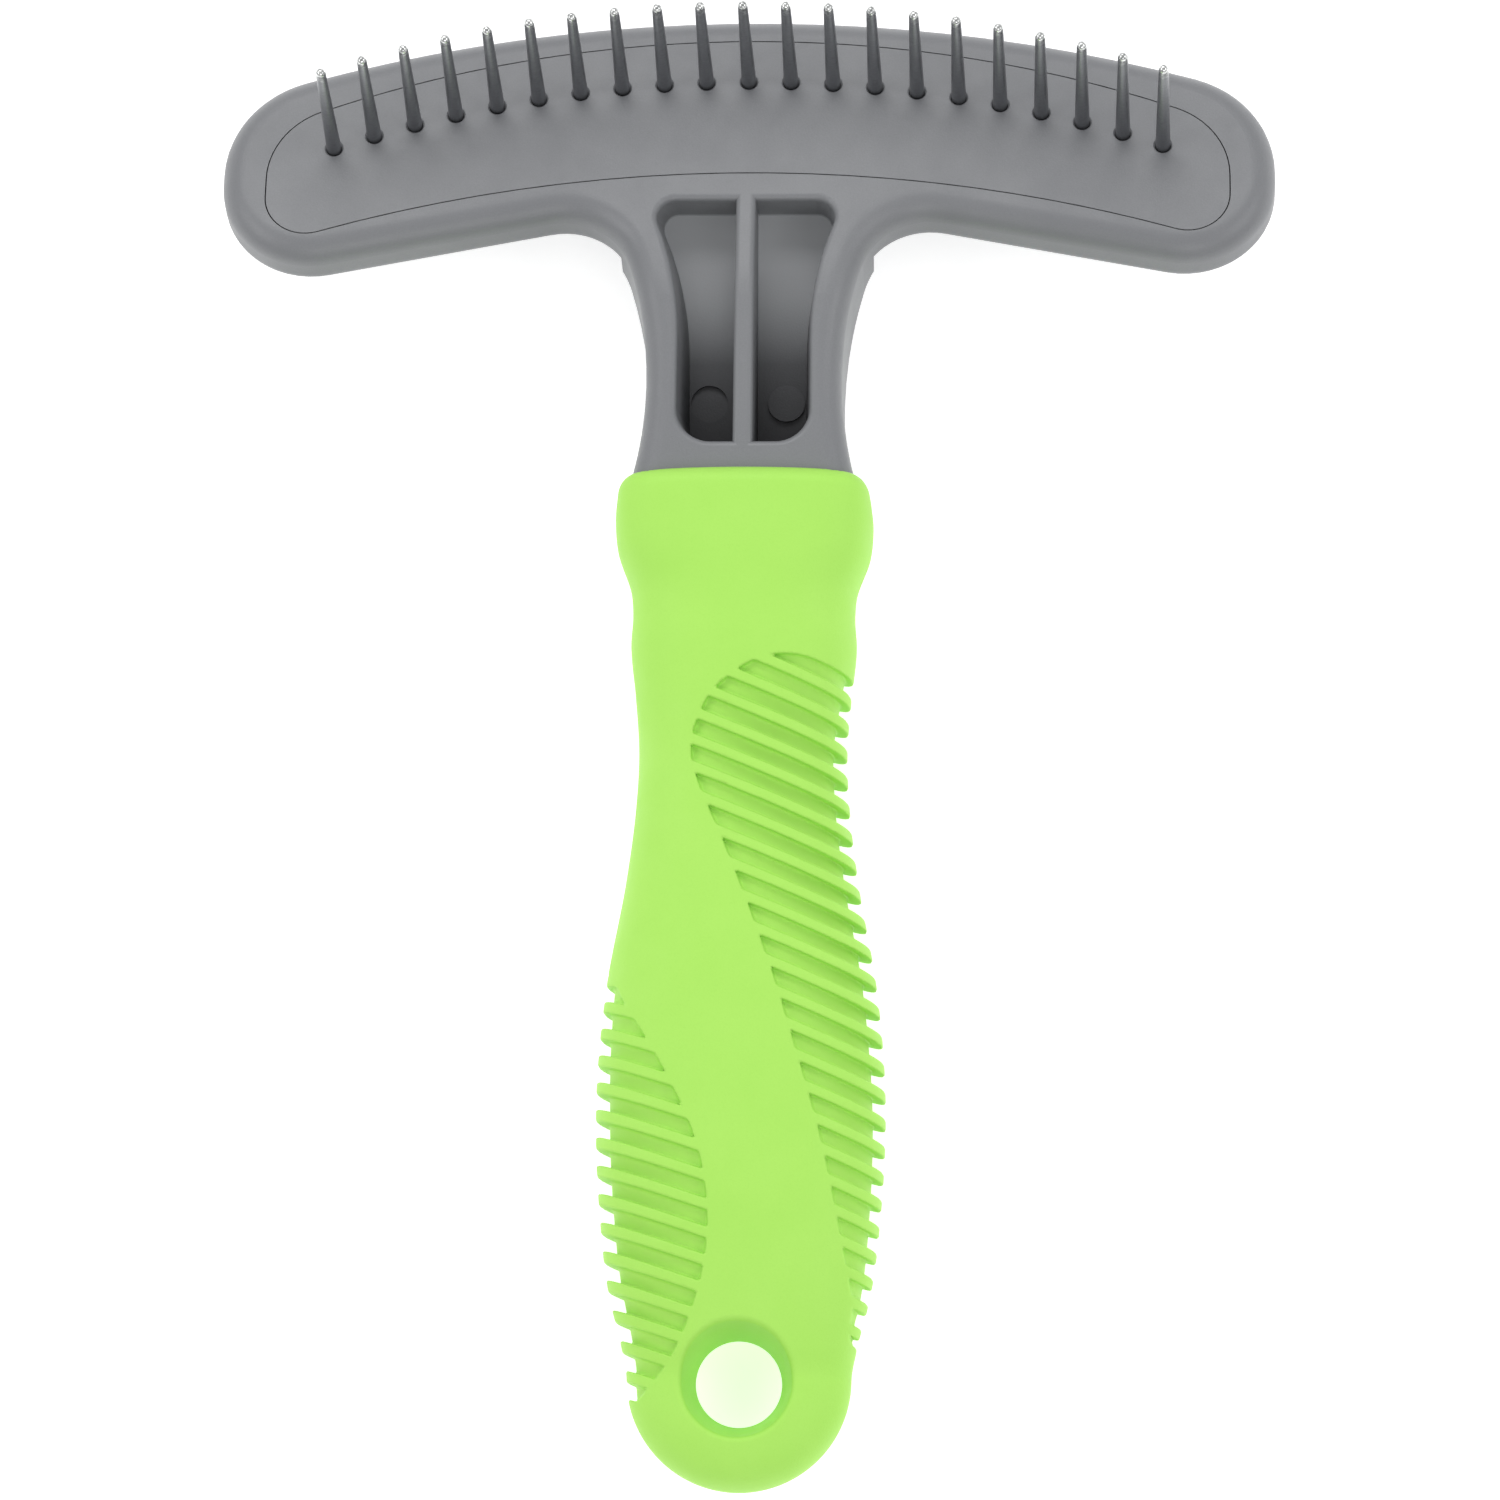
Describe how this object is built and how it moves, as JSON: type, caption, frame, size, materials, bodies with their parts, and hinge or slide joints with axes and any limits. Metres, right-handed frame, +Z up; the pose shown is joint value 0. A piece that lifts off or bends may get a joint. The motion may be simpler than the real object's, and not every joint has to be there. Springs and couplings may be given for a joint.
{
  "type": "deshedding rake",
  "caption": "T-shaped hand rake for pet undercoats, with a curved row of free-turning steel pins, a hollow neck and a ribbed soft grip with a hanging hole.",
  "frame": {"origin": "bottom centre of the whole tool as it lies on its back, with the pins up", "axes": "+X across the head, +Y along the handle towards the head, +Z up, out of the side that carries the pins"},
  "size_m": [0.128, 0.18, 0.0292],
  "materials": {
    "body_plastic": "fine matt",
    "grip_rubber": "matt soft-touch",
    "pin_steel": "satin with polished tips"
  },
  "bodies": {
    "frame": {"head_frame": "body_plastic", "pin_plate": "body_plastic", "grip": "grip_rubber"},
    "pin_01": {"pin_01": "pin_steel"},
    "pin_02": {"pin_02": "pin_steel"},
    "pin_03": {"pin_03": "pin_steel"},
    "pin_04": {"pin_04": "pin_steel"},
    "pin_05": {"pin_05": "pin_steel"},
    "pin_06": {"pin_06": "pin_steel"},
    "pin_07": {"pin_07": "pin_steel"},
    "pin_08": {"pin_08": "pin_steel"},
    "pin_09": {"pin_09": "pin_steel"},
    "pin_10": {"pin_10": "pin_steel"},
    "pin_11": {"pin_11": "pin_steel"},
    "pin_12": {"pin_12": "pin_steel"},
    "pin_13": {"pin_13": "pin_steel"},
    "pin_14": {"pin_14": "pin_steel"},
    "pin_15": {"pin_15": "pin_steel"},
    "pin_16": {"pin_16": "pin_steel"},
    "pin_17": {"pin_17": "pin_steel"},
    "pin_18": {"pin_18": "pin_steel"},
    "pin_19": {"pin_19": "pin_steel"},
    "pin_20": {"pin_20": "pin_steel"},
    "pin_21": {"pin_21": "pin_steel"}
  },
  "joints": [
    {"name": "pin_01_spin", "type": "hinge", "parent": "frame", "child": "pin_01", "pos_m": [-0.05039, 0.07277, 0.01207], "axis": [0, 0.309, 0.9511], "continuous": true},
    {"name": "pin_02_spin", "type": "hinge", "parent": "frame", "child": "pin_02", "pos_m": [-0.04554, 0.07442, 0.01154], "axis": [0, 0.309, 0.9511], "continuous": true},
    {"name": "pin_03_spin", "type": "hinge", "parent": "frame", "child": "pin_03", "pos_m": [-0.04063, 0.0759, 0.01106], "axis": [0, 0.309, 0.9511], "continuous": true},
    {"name": "pin_04_spin", "type": "hinge", "parent": "frame", "child": "pin_04", "pos_m": [-0.03567, 0.07721, 0.01063], "axis": [0, 0.309, 0.9511], "continuous": true},
    {"name": "pin_05_spin", "type": "hinge", "parent": "frame", "child": "pin_05", "pos_m": [-0.03066, 0.07835, 0.01026], "axis": [0, 0.309, 0.9511], "continuous": true},
    {"name": "pin_06_spin", "type": "hinge", "parent": "frame", "child": "pin_06", "pos_m": [-0.02561, 0.07932, 0.00995], "axis": [0, 0.309, 0.9511], "continuous": true},
    {"name": "pin_07_spin", "type": "hinge", "parent": "frame", "child": "pin_07", "pos_m": [-0.02053, 0.08011, 0.00969], "axis": [0, 0.309, 0.9511], "continuous": true},
    {"name": "pin_08_spin", "type": "hinge", "parent": "frame", "child": "pin_08", "pos_m": [-0.01542, 0.08073, 0.00949], "axis": [0, 0.309, 0.9511], "continuous": true},
    {"name": "pin_09_spin", "type": "hinge", "parent": "frame", "child": "pin_09", "pos_m": [-0.01029, 0.08117, 0.00934], "axis": [0, 0.309, 0.9511], "continuous": true},
    {"name": "pin_10_spin", "type": "hinge", "parent": "frame", "child": "pin_10", "pos_m": [-0.00515, 0.08143, 0.00926], "axis": [0, 0.309, 0.9511], "continuous": true},
    {"name": "pin_11_spin", "type": "hinge", "parent": "frame", "child": "pin_11", "pos_m": [0, 0.08152, 0.00923], "axis": [0, 0.309, 0.9511], "continuous": true},
    {"name": "pin_12_spin", "type": "hinge", "parent": "frame", "child": "pin_12", "pos_m": [0.00515, 0.08143, 0.00926], "axis": [0, 0.309, 0.9511], "continuous": true},
    {"name": "pin_13_spin", "type": "hinge", "parent": "frame", "child": "pin_13", "pos_m": [0.01029, 0.08117, 0.00934], "axis": [0, 0.309, 0.9511], "continuous": true},
    {"name": "pin_14_spin", "type": "hinge", "parent": "frame", "child": "pin_14", "pos_m": [0.01542, 0.08073, 0.00949], "axis": [0, 0.309, 0.9511], "continuous": true},
    {"name": "pin_15_spin", "type": "hinge", "parent": "frame", "child": "pin_15", "pos_m": [0.02053, 0.08011, 0.00969], "axis": [0, 0.309, 0.9511], "continuous": true},
    {"name": "pin_16_spin", "type": "hinge", "parent": "frame", "child": "pin_16", "pos_m": [0.02561, 0.07932, 0.00995], "axis": [0, 0.309, 0.9511], "continuous": true},
    {"name": "pin_17_spin", "type": "hinge", "parent": "frame", "child": "pin_17", "pos_m": [0.03066, 0.07835, 0.01026], "axis": [0, 0.309, 0.9511], "continuous": true},
    {"name": "pin_18_spin", "type": "hinge", "parent": "frame", "child": "pin_18", "pos_m": [0.03567, 0.07721, 0.01063], "axis": [0, 0.309, 0.9511], "continuous": true},
    {"name": "pin_19_spin", "type": "hinge", "parent": "frame", "child": "pin_19", "pos_m": [0.04063, 0.0759, 0.01106], "axis": [0, 0.309, 0.9511], "continuous": true},
    {"name": "pin_20_spin", "type": "hinge", "parent": "frame", "child": "pin_20", "pos_m": [0.04554, 0.07442, 0.01154], "axis": [0, 0.309, 0.9511], "continuous": true},
    {"name": "pin_21_spin", "type": "hinge", "parent": "frame", "child": "pin_21", "pos_m": [0.05039, 0.07277, 0.01207], "axis": [0, 0.309, 0.9511], "continuous": true}
  ]
}
